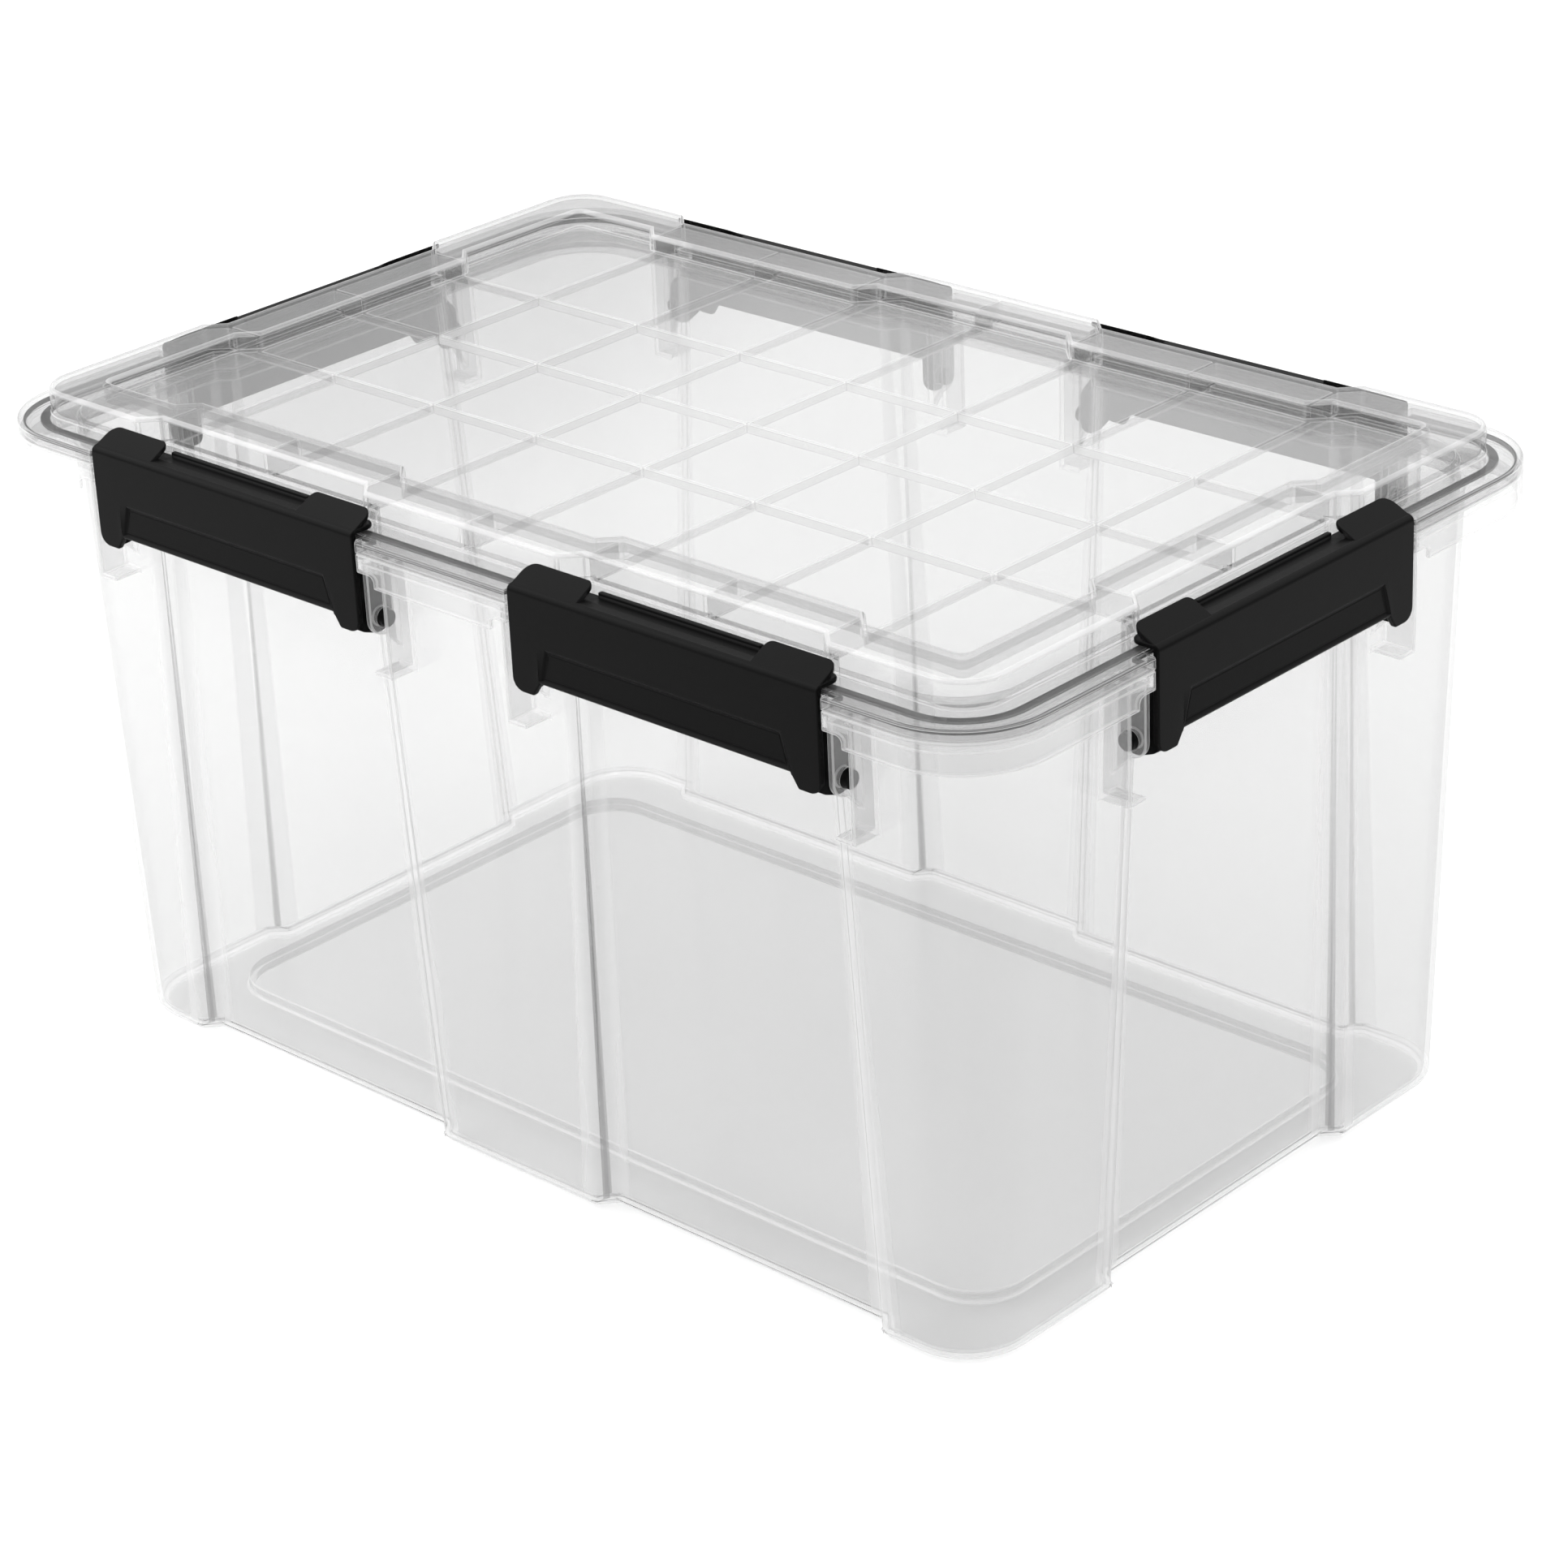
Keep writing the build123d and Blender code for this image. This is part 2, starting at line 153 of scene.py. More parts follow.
# ---- Finishes -----------------------------------------------------------------------------
@dataclass(frozen=True)
class ClearPolypropylene:
    """Natural polypropylene, injection moulded against a polished tool.

    To the eye it is a thin grey haze that lets the far side through, under a clear gloss. Its
    haze colour is painted lighter, up to white, where it is seen edge on and in the rounded edges
    and ribs: painted light that stands for the light those parts gather from the walls beside
    them. Haze scatters light onwards, so the plastic casts hardly any shadow.
    """

    name: str = "clear_moulded_polypropylene"
    wall_hex: str = "d8d8d8"
    # painted light: the haze colour on rounded edges, ribs and faces seen edge on
    edge_hex: str = "fcfcfc"
    tint_hex: str = "fefefe"
    ior: float = 1.49
    haze_roughness: float = 0.5
    gloss_roughness: float = 0.13
    wall_haze: float = 0.15
    glancing_haze: float = 0.30
    edge_haze: float = 0.45
    white_after: float = 0.40  # haze beyond the wall's own at which the painted light is full white
    shadow_share: float = 0.06
    flow_mark_mm: float = 90.0
    flow_mark_share: float = 0.10

    def haze(
        self, tree: bpy.types.NodeTree, facing: bpy.types.NodeSocket, gather: bpy.types.Node
    ) -> bpy.types.Node:
        """Work out how much of the surface is haze.

        Args:
            tree: the material's tree.
            facing: 0 where the surface is met head on, 1 where it is met edge on.
            gather: the attribute node that is 0 on walls and up to 1 on edges and ribs; it
                thickens the haze and paints light into its colour.

        Returns:
            The node whose first output is the haze, from 0 to 1.
        """
        glancing = add_node(
            tree, "ShaderNodeMath", {"operation": "POWER"}, {0: facing, 1: 3.0}
        )
        wall = add_node(
            tree,
            "ShaderNodeMath",
            {"operation": "MULTIPLY_ADD"},
            {0: glancing.outputs[0], 1: self.glancing_haze, 2: self.wall_haze},
        )
        edge = add_node(
            tree,
            "ShaderNodeMath",
            {"operation": "MULTIPLY_ADD"},
            {0: gather.outputs["Fac"], 1: self.edge_haze, 2: wall.outputs[0]},
        )
        place = add_node(tree, "ShaderNodeTexCoord")
        flow = add_node(
            tree,
            "ShaderNodeTexNoise",
            None,
            {
                "Vector": place.outputs["Object"],
                "Scale": 1 / (self.flow_mark_mm * MM),
                "Detail": 3.0,
            },
        )
        mottle = add_node(
            tree,
            "ShaderNodeMapRange",
            None,
            {
                "Value": flow.outputs["Fac"],
                "To Min": 1 - self.flow_mark_share,
                "To Max": 1 + self.flow_mark_share,
            },
        )
        return add_node(
            tree,
            "ShaderNodeMath",
            {"operation": "MULTIPLY", "use_clamp": True},
            {0: edge.outputs[0], 1: mottle.outputs[0]},
        )

    def build(self) -> bpy.types.Material:
        """Build the material. Haze, and the painted light in its colour, ride on the "gather"
        attribute that each moulding carries.
        """
        material, tree, output = new_material(self.name)
        gather = add_node(tree, "ShaderNodeAttribute", {"attribute_name": "gather"})
        weight = add_node(tree, "ShaderNodeLayerWeight", None, {"Blend": 0.5})
        facing = weight.outputs["Facing"]
        haze = self.haze(tree, facing, gather)
        path = add_node(tree, "ShaderNodeLightPath")
        passing = add_node(
            tree,
            "ShaderNodeMapRange",
            None,
            {"Value": path.outputs["Is Shadow Ray"], "To Min": 1.0, "To Max": self.shadow_share},
        )
        solid = add_node(
            tree,
            "ShaderNodeMath",
            {"operation": "MULTIPLY"},
            {0: haze.outputs[0], 1: passing.outputs[0]},
        )
        # painted light: the haze colour goes from grey towards white as the haze rises at glancing
        # angles, on rounded edges and on ribs
        painted_light = add_node(
            tree,
            "ShaderNodeMapRange",
            None,
            {
                "Value": haze.outputs[0],
                "From Min": self.wall_haze * (1 + self.flow_mark_share),
                "From Max": self.wall_haze + self.white_after,
            },
        )
        colour = add_node(
            tree,
            "ShaderNodeMix",
            {"data_type": "RGBA"},
            {0: painted_light.outputs[0], 6: linear(self.wall_hex), 7: linear(self.edge_hex)},
        )
        clear = add_node(
            tree, "ShaderNodeBsdfTransparent", None, {"Color": linear(self.tint_hex)}
        )
        milk = add_node(
            tree,
            "ShaderNodeBsdfPrincipled",
            None,
            {
                "Base Color": colour.outputs[2],
                "Roughness": self.haze_roughness,
                "IOR": self.ior,
            },
        )
        body = add_node(
            tree,
            "ShaderNodeMixShader",
            None,
            {0: solid.outputs[0], 1: clear.outputs[0], 2: milk.outputs[0]},
        )
        gloss = add_node(
            tree, "ShaderNodeBsdfGlossy", None, {"Roughness": self.gloss_roughness}
        )
        glance = add_node(tree, "ShaderNodeMath", {"operation": "POWER"}, {0: facing, 1: 5.0})
        head_on = ((self.ior - 1) / (self.ior + 1)) ** 2
        mirror = add_node(
            tree,
            "ShaderNodeMath",
            {"operation": "MULTIPLY_ADD"},
            {0: glance.outputs[0], 1: 1 - head_on, 2: head_on},
        )
        shine = add_node(
            tree,
            "ShaderNodeMath",
            {"operation": "MULTIPLY"},
            {0: mirror.outputs[0], 1: passing.outputs[0]},
        )
        surface = add_node(
            tree,
            "ShaderNodeMixShader",
            None,
            {0: shine.outputs[0], 1: body.outputs[0], 2: gloss.outputs[0]},
        )
        tree.links.new(surface.outputs[0], output.inputs[0])
        return material


@dataclass(frozen=True)
class SatinBlackPolypropylene:
    """Black polypropylene moulded in a finely spark-eroded tool.

    To the eye it is near black with a soft, broad sheen along its bends and no sharp reflections.
    """

    name: str = "satin_black_moulded_polypropylene"
    base_hex: str = "090909"
    ior: float = 1.49
    roughness: float = 0.38
    specular: float = 0.06
    grain_mm: float = 0.9  # real grain is nearer 0.1 mm, too fine to show
    grain_height_mm: float = 0.02

    def build(self) -> bpy.types.Material:
        """Build the material."""
        material, tree, output = new_material(self.name)
        place = add_node(tree, "ShaderNodeTexCoord")
        grain = add_node(
            tree,
            "ShaderNodeTexNoise",
            None,
            {
                "Vector": place.outputs["Object"],
                "Scale": 1 / (self.grain_mm * MM),
                "Detail": 2.0,
            },
        )
        relief = add_node(
            tree,
            "ShaderNodeBump",
            None,
            {"Height": grain.outputs["Fac"], "Distance": self.grain_height_mm * MM},
        )
        sheen = add_node(
            tree,
            "ShaderNodeMapRange",
            None,
            {
                "Value": grain.outputs["Fac"],
                "To Min": self.roughness - 0.05,
                "To Max": self.roughness + 0.05,
            },
        )
        plastic = add_node(
            tree,
            "ShaderNodeBsdfPrincipled",
            None,
            {
                "Base Color": linear(self.base_hex),
                "Roughness": sheen.outputs[0],
                "IOR": self.ior,
                "Specular IOR Level": self.specular,
                "Normal": relief.outputs[0],
            },
        )
        tree.links.new(plastic.outputs[0], output.inputs[0])
        return material


@dataclass(frozen=True)
class SoftElastomer:
    """Dark grey extruded elastomer, matt, with a faint mottle of filler."""

    name: str = "dark_grey_extruded_elastomer"
    base_hex: str = "4a4a4a"
    fleck_hex: str = "565656"
    fleck_mm: float = 1.5
    roughness: float = 0.75

    def build(self) -> bpy.types.Material:
        """Build the material."""
        material, tree, output = new_material(self.name)
        place = add_node(tree, "ShaderNodeTexCoord")
        fleck = add_node(
            tree,
            "ShaderNodeTexNoise",
            None,
            {"Vector": place.outputs["Object"], "Scale": 1 / (self.fleck_mm * MM)},
        )
        colour = add_node(
            tree,
            "ShaderNodeMix",
            {"data_type": "RGBA"},
            {0: fleck.outputs["Fac"], 6: linear(self.base_hex), 7: linear(self.fleck_hex)},
        )
        rubber = add_node(
            tree,
            "ShaderNodeBsdfPrincipled",
            None,
            {"Base Color": colour.outputs[2], "Roughness": self.roughness},
        )
        tree.links.new(rubber.outputs[0], output.inputs[0])
        return material


@dataclass(frozen=True)
class PalePaper:
    """Seamless white studio paper."""

    name: str = "white_studio_paper"
    base_hex: str = "f6f6f6"
    roughness: float = 0.9

    def build(self) -> bpy.types.Material:
        """Build the material."""
        material, tree, output = new_material(self.name)
        paper = add_node(
            tree,
            "ShaderNodeBsdfPrincipled",
            None,
            {
                "Base Color": linear(self.base_hex),
                "Roughness": self.roughness,
                "Specular IOR Level": 0.0,
            },
        )
        tree.links.new(paper.outputs[0], output.inputs[0])
        return material


# ---- Mesh helpers, all in millimetres ------------------------------------------------------
def moulding_of(node: str) -> bmesh.types.BMesh:
    """Copy a CAD node's mesh, with its loose triangles merged into whole faces.

    Args:
        node: the CAD node's name.

    Returns:
        A bmesh of the copy, in millimetres.
    """
    bm = bmesh.new()
    bm.from_mesh(frame["nodes"][node].data)
    bmesh.ops.scale(bm, vec=(1 / MM,) * 3, verts=bm.verts)
    bmesh.ops.remove_doubles(bm, verts=bm.verts, dist=0.01)
    bmesh.ops.dissolve_limit(
        bm, angle_limit=math.radians(0.5), verts=bm.verts, edges=bm.edges, delimit={"NORMAL"}
    )
    return bm


def prism(
    outline: Iterable[tuple[float, float, float]], push: tuple[float, float, float]
) -> bmesh.types.BMesh:
    """Extrude a flat outline into a closed solid.

    Args:
        outline: its corners in order.
        push: how far, and which way, the outline is extruded.

    Returns:
        A bmesh of the solid.
    """
    bm = bmesh.new()
    face = bm.faces.new([bm.verts.new(corner) for corner in outline])
    pushed = bmesh.ops.extrude_face_region(bm, geom=[face])
    moved = [part for part in pushed["geom"] if isinstance(part, bmesh.types.BMVert)]
    bmesh.ops.translate(bm, vec=push, verts=moved)
    bmesh.ops.recalc_face_normals(bm, faces=bm.faces)
    return bm


def slice_at(
    bm: bmesh.types.BMesh,
    point: tuple[float, float, float],
    normal: tuple[float, float, float],
    faces: Iterable[bmesh.types.BMFace] | None = None,
) -> None:
    """Cut a loop into the mesh, or into some of its faces, where a plane crosses it.

    Args:
        bm: the mesh.
        point: a point of the plane.
        normal: the plane's normal.
        faces: the faces to cut, or None for all.
    """
    cut = list(bm.faces if faces is None else faces)
    around = dict.fromkeys(part for face in cut for part in (*face.edges, *face.verts))
    bmesh.ops.bisect_plane(
        bm, geom=cut + list(around), dist=0.001, plane_co=point, plane_no=normal
    )


def every_edge(edge: bmesh.types.BMEdge) -> bool:
    """True for any edge."""
    return True


def round_edges(
    bm: bmesh.types.BMesh,
    radius: float,
    chosen: Callable[[bmesh.types.BMEdge], bool] = every_edge,
    segments: int = 4,
    sharpest: float = 28.0,
) -> list[bmesh.types.BMFace]:
    """Round the chosen edges that are sharper than an angle.

    Args:
        bm: the mesh.
        radius: how far the round reaches from the edge.
        chosen: says which edges may be rounded.
        segments: how many strips the round has.
        sharpest: edges whose faces turn less than this many degrees stay as they are.

    Returns:
        The faces of the rounds.
    """
    edges = [
        edge
        for edge in bm.edges
        if edge.is_manifold and edge.calc_face_angle(0) > math.radians(sharpest) and chosen(edge)
    ]
    made = bmesh.ops.bevel(
        bm,
        geom=edges,
        offset=radius,
        offset_type="OFFSET",
        segments=segments,
        profile=0.5,
        affect="EDGES",
        clamp_overlap=False,
        material=-1,
    )
    return made["faces"]


def fused(parts: list[bmesh.types.BMesh]) -> bpy.types.Mesh:
    """Fuse overlapping solids into one closed mesh.

    Args:
        parts: the solids, which are freed.

    Returns:
        The mesh of their union.
    """
    solids = []
    for number, part in enumerate(parts):
        mesh = bpy.data.meshes.new(f"part_{number}")
        part.to_mesh(mesh)
        part.free()
        solid = bpy.data.objects.new(mesh.name, mesh)
        bpy.context.scene.collection.objects.link(solid)
        solids.append(solid)
    whole = solids[0]
    for solid in solids[1:]:
        union = whole.modifiers.new(f"with_{solid.name}", "BOOLEAN")
        union.operation = "UNION"
        union.solver = "EXACT"
        union.object = solid
    bpy.context.view_layer.update()
    result = bpy.data.meshes.new_from_object(
        whole.evaluated_get(bpy.context.evaluated_depsgraph_get())
    )
    for solid in solids:
        bpy.data.objects.remove(solid)
    bm = bmesh.new()
    bm.from_mesh(result)
    bmesh.ops.remove_doubles(bm, verts=bm.verts, dist=0.004)
    bmesh.ops.dissolve_degenerate(bm, edges=bm.edges, dist=0.004)
    bm.to_mesh(result)
    bm.free()
    result.validate()
    return result


def finish_piece(
    bm: bmesh.types.BMesh,
    name: str,
    body: str,
    material: bpy.types.Material,
    replaced: Iterable[str],
    place: Matrix | None = None,
) -> bpy.types.Object:
    """Turn a bmesh into a piece that rides on a body and stands for CAD nodes.

    Args:
        bm: the mesh in millimetres, which is freed.
        name: the piece's name.
        body: the CAD body that it moves with.
        material: its finish.
        replaced: the CAD nodes that it stands for.
        place: where the mesh goes, in metres, if it isn't modelled in place.

    Returns:
        The new object.
    """
    seat = (place or Matrix.Identity(4)) @ Matrix.Scale(MM, 4)
    bmesh.ops.transform(bm, matrix=seat, verts=bm.verts)
    mesh = bpy.data.meshes.new(name)
    bm.to_mesh(mesh)
    bm.free()
    mesh.shade_smooth()
    mesh.materials.clear()
    mesh.materials.append(material)
    piece = bpy.data.objects.new(name, mesh)
    bpy.context.scene.collection.objects.link(piece)
    weighted = piece.modifiers.new("even_shading", "WEIGHTED_NORMAL")
    weighted.keep_sharp = True
    weighted.weight = 80
    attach(piece, body)
    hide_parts(*replaced)
    log.info("%s: %d faces on body %s", name, len(mesh.polygons), body)
    return piece


# ---- Mouldings ----------------------------------------------------------------------------
@dataclass
class BinTub:
    """The tub: drafted walls with sunk panels, a skirted rim, and ears for the latches' pins."""

    material: bpy.types.Material
    fold_round: float = 2.6  # upright folds of the sunk panels
    base_round: float = 1.4
    edge_round: float = 0.7
    upright_least: float = 150.0  # an edge that climbs this far is a fold of the walls
    base_top: float = 4.5
    # painted light: these shares thicken the haze on the rounds and whiten its colour, as painted
    # highlights along the folds, the foot and the edges
    fold_gather: float = 0.30
    base_gather: float = 0.45
    edge_gather: float = 0.50

    def is_fold(self, edge: bmesh.types.BMEdge) -> bool:
        """True for the upright edges of the walls."""
        low, high = sorted(vert.co.z for vert in edge.verts)
        return high - low > self.upright_least

    def is_base(self, edge: bmesh.types.BMEdge) -> bool:
        """True for the edges round the foot of the walls."""
        return max(vert.co.z for vert in edge.verts) < self.base_top

    def build(self) -> bpy.types.Object:
        """Build the tub."""
        bm = moulding_of("bin_tub")
        gather = bm.faces.layers.float.new("gather")
        for radius, chosen, share in (
            (self.base_round, self.is_base, self.base_gather),
            (self.fold_round, self.is_fold, self.fold_gather),
            (self.edge_round, every_edge, self.edge_gather),
        ):
            for face in round_edges(bm, radius, chosen):
                face[gather] = share
        return finish_piece(
            bm, "moulded_bin", "bin", self.material, ["bin_tub"]
        )


@dataclass
class Lid:
    """The lid: a lipped flange, a raised frame, and a sunk panel over a grid of ribs."""

    material: bpy.types.Material
    frame_round: float = 2.0
    edge_round: float = 0.5
    rib_low: float = 303.4
    panel_under: float = 307.8
    flange_band: tuple[float, float] = (302.9, 305.5)
    # painted light: the edge and rib shares thicken the haze and whiten its colour, as painted
    # highlights on the rounds and the rib sides; the flange's share only thins the haze
    edge_gather: float = 0.50
    rib_gather: float = 0.95
    flange_gather: float = -0.22  # the flange is clearer than the walls, so the seal shows dark
    frame_top: float = field(init=False)

    def __post_init__(self) -> None:
        """Read the height of the frame's top from the CAD lid."""
        self.frame_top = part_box("lid")[1].z / MM

    def is_frame_top(self, edge: bmesh.types.BMEdge) -> bool:
        """True for the outer and inner edges of the raised frame's top."""
        return all(abs(vert.co.z - self.frame_top) < LID_SLACK for vert in edge.verts)

    def is_rib_side(self, face: bmesh.types.BMFace) -> bool:
        """True for the upright faces of the ribs under the panel."""
        heights = [vert.co.z for vert in face.verts]
        above = self.rib_low - LID_SLACK < min(heights)
        below = max(heights) < self.panel_under + LID_SLACK
        return abs(face.normal.z) < 0.1 and above and below

    def is_flange(self, face: bmesh.types.BMFace) -> bool:
        """True for the top and the underside of the flange."""
        low, high = self.flange_band
        return abs(face.normal.z) > 0.9 and low < face.calc_center_median().z < high

    def build(self) -> bpy.types.Object:
        """Build the lid."""
        bm = moulding_of("lid")
        gather = bm.faces.layers.float.new("gather")
        for face in bm.faces:
            if self.is_rib_side(face):
                face[gather] = self.rib_gather
            elif self.is_flange(face):
                face[gather] = self.flange_gather
        rounds = ((self.frame_round, self.is_frame_top), (self.edge_round, every_edge))
        for radius, chosen in rounds:
            for face in round_edges(bm, radius, chosen):
                face[gather] = self.edge_gather
        return finish_piece(bm, "moulded_lid", "lid", self.material, ["lid"])


@dataclass
class Gasket:
    """The seal under the lid's flange: a flat band, and a thin bead in the corner of the lip.

    Both follow the rim, and the bead steps inwards behind each latch.
    """

    material: bpy.types.Material
    rim_radius: float = 43.0
    band_inset: float = 10.6
    band_width: float = 4.4
    band_height: float = 1.1
    bead_inset: float = 2.7
    bead_width: float = 1.2
    bead_height: float = 2.0
    notch_half: float = 90.4
    notch_depth: float = 5.2
    edge_round: float = 0.3

    def latch_centres(self, along_x: bool) -> list[float]:
        """Find the middles of the latches on a long side or an end, in mm."""
        sides = ("front_left", "front_right") if along_x else ("right",)
        axis = 0 if along_x else 1
        boxes = [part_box(f"latch_{side}") for side in sides]
        return [(low[axis] + high[axis]) / 2 / MM for low, high in boxes]

    def outline(self, inset: float, depth: float) -> list[Vector]:
        """List the corners of a loop that runs round inside the rim.

        Args:
            inset: rim to the loop, in mm.
            depth: how far the loop steps inwards behind each latch, or 0.

        Returns:
            The corners in order, in mm, at height 0.
        """
        low, high = cad_box
        half_length, half_width = high[0] / MM - inset, high[1] / MM - inset
        corners: list[Vector] = []
        for turn in range(4):
            along_x = turn % 2 == 0
            reach, out = (half_length, half_width) if along_x else (half_width, half_length)
            points = [(-reach, -out)]
            if depth:
                for centre in self.latch_centres(along_x):
                    points += [
                        (centre - self.notch_half, -out),
                        (centre - self.notch_half, depth - out),
                        (centre + self.notch_half, depth - out),
                        (centre + self.notch_half, -out),
                    ]
            spin = Matrix.Rotation(math.radians(90 * turn), 3, "Z")
            corners += [spin @ Vector((x, y, 0)) for x, y in points]
        return corners

    def ring(
        self, bm: bmesh.types.BMesh, inset: float, width: float, height: float, depth: float
    ) -> None:
        """Add a closed ring that hangs from the underside of the flange.

        Args:
            bm: the mesh that gets the ring.
            inset: rim to the outside of the ring, in mm.
            width: width of the ring, in mm.
            height: how far it hangs down, in mm.
            depth: its step inwards behind each latch, in mm.
        """
        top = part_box("lid_gasket")[1].z / MM
        points = self.outline(inset, depth)
        verts = [bm.verts.new((p.x, p.y, top)) for p in points]
        bm.faces.new(verts)
        high = cad_box[1]
        rim = Vector((high[0] / MM - inset, high[1] / MM - inset))
        outer = [
            vert
            for vert, point in zip(verts, points)
            if abs(abs(point.x) - rim.x) < LID_SLACK and abs(abs(point.y) - rim.y) < LID_SLACK
        ]
        bmesh.ops.bevel(
            bm,
            geom=outer,
            offset=self.rim_radius - inset,
            offset_type="OFFSET",
            segments=16,
            profile=0.5,
            affect="VERTICES",
            material=-1,
        )
        plate = max(bm.faces, key=lambda face: len(face.verts))
        inset_made = bmesh.ops.inset_region(
            bm, faces=[plate], thickness=width, use_even_offset=True, use_boundary=True
        )
        bmesh.ops.delete(bm, geom=[plate], context="FACES_ONLY")
        band = inset_made["faces"]
        pushed = bmesh.ops.extrude_face_region(bm, geom=band)
        lower = [part for part in pushed["geom"] if isinstance(part, bmesh.types.BMVert)]
        bmesh.ops.translate(bm, vec=(0, 0, -height), verts=lower)

    def build(self) -> bpy.types.Object:
        """Build the gasket."""
        bm = bmesh.new()
        self.ring(bm, self.band_inset, self.band_width, self.band_height, 0.0)
        self.ring(bm, self.bead_inset, self.bead_width, self.bead_height, self.notch_depth)
        bmesh.ops.recalc_face_normals(bm, faces=bm.faces)
        round_edges(bm, self.edge_round, segments=2, sharpest=60.0)
        return finish_piece(
            bm, "seal_ring", "lid", self.material, ["lid_gasket"]
        )


class Side(Enum):
    """The side of the box that a latch is on, as its turn from the front in degrees."""

    FRONT = 0
    RIGHT = 90
    BACK = 180
    LEFT = -90


@dataclass
class Latch:
    """A snap latch: an outer wall with a grip, a hook with its rail and tabs, legs and pins.

    It is modelled lying along X, with its outer face at Y = 0, the box towards +Y, and heights
    measured from the axis of its pins.
    """

    material: bpy.types.Material
    half: float = 86.0
    wall: float = 3.0
    top: float = 42.2
    hook_plate: float = 2.2
    hook_reach: float = 15.0
    bend_round: float = 3.0
    plan_round: float = 5.0
    wall_low: float = 1.0  # lower edge of the wall between the lobes
    wall_low_round: float = 1.6
    lobe_low: float = -5.0
    lobe_slope: float = 4.0
    lobe_round: float = 6.0
    edge_round: float = 0.7
    grip_half: float = 70.0
    grip_taper: float = 5.0
    grip_top: float = 17.5
    grip_border: float = 0.9
    grip_depth: float = 1.1
    ridges: int = 11
    ridge_height: float = 0.35
    ridge_margin: float = 0.8
    rail_half: float = 45.0
    rail_thick: float = 2.5
    rail_rise: float = 2.4
    rail_root: float = 0.2  # how far the rail reaches under the hook plate
    rail_round: float = 0.6
    tab_near: float = 48.0
    tab_reach: float = 14.4
    tab_top: float = 48.0
    tab_outer_cut: float = 5.5
    tab_inner_cut: float = 3.5
    tab_root: float = 0.7  # how far below the top the tab starts in the bend
    tab_round: float = 0.55
    leg_inset: float = 0.4
    leg_thick: float = 3.1
    leg_depth: float = 20.0
    leg_top: float = 23.0
    leg_shoulder: float = 5.0
    leg_back_top: float = 14.0
    leg_chamfer: float = 3.5
    leg_front: float = 0.8  # the leg starts inside the wall
    leg_foot: float = 1.4
    leg_drop: float = 0.4
    leg_heel: float = 1.5
    leg_back_round: float = 2.0
    leg_top_round: float = 1.5
    leg_round: float = 0.5
    boss_radius: float = 8.0  # the leg's end round the pin, which must clear the wall when open
    boss_round: float = 7.5
    pin_inset: float = 12.0
    pin_radius: float = 4.0
    pin_reach: float = 92.4
    pin_round: float = 0.6
    pin_root: float = 1.0  # how far the pin reaches into the leg

    def shell(self) -> bmesh.types.BMesh:
        """Bend the outer wall and the hook plate out of one section, and raise its middle edge."""
        under = self.top - self.hook_plate
        section = (
            (0.0, self.lobe_low),
            (0.0, self.top),
            (self.hook_reach, self.top),
            (self.hook_reach, under),
            (self.wall, under),
            (self.wall, self.lobe_low),
        )
        bm = prism([(-self.half, y, z) for y, z in section], (2 * self.half, 0, 0))
        for x in (self.grip_half + self.lobe_slope, self.grip_half):
            for end in (-x, x):
                slice_at(bm, (end, 0, 0), (1, 0, 0))
        for vert in bm.verts:
            if vert.co.z < self.lobe_low + 0.1 and abs(vert.co.x) < self.grip_half + 0.1:
                vert.co.z = self.wall_low
        self.round_where(bm, self.bend_round, y=0.0, z=self.top, segments=8)
        self.round_where(bm, self.lobe_round, x=self.half, z=self.lobe_low, segments=8)
        self.round_where(bm, self.plan_round, x=self.half, y=self.hook_reach, segments=6)
        self.round_where(bm, self.wall_low_round, y=0.0, z=self.wall_low, segments=5)
        self.sink_grip(bm)
        return bm

    @staticmethod
    def round_where(
        bm: bmesh.types.BMesh,
        radius: float,
        x: float | None = None,
        y: float | None = None,
        z: float | None = None,
        segments: int = 6,
    ) -> None:
        """Round the edges that lie at given coordinates.

        Args:
            bm: the mesh.
            radius: size of the round.
            x: distance of the edges from the middle, at either end, if it matters.
            y: their depth, if it matters.
            z: their height, if it matters.
            segments: how many strips the round has.
        """

        def chosen(edge: bmesh.types.BMEdge) -> bool:
            """True where both ends of the edge lie at the coordinates."""
            return all(
                (x is None or abs(abs(vert.co.x) - x) < PLACE_SLACK)
                and (y is None or abs(vert.co.y - y) < PLACE_SLACK)
                and (z is None or abs(vert.co.z - z) < PLACE_SLACK)
                for vert in edge.verts
            )

        round_edges(bm, radius, chosen, segments=segments)

    def is_front(self, face: bmesh.types.BMFace, depth: float) -> bool:
        """True for a face that looks outwards and lies at a depth below the grip's top."""
        centre = face.calc_center_median()
        at_depth = abs(centre.y - depth) < PLACE_SLACK
        return face.normal.y < -0.99 and at_depth and centre.z < self.grip_top

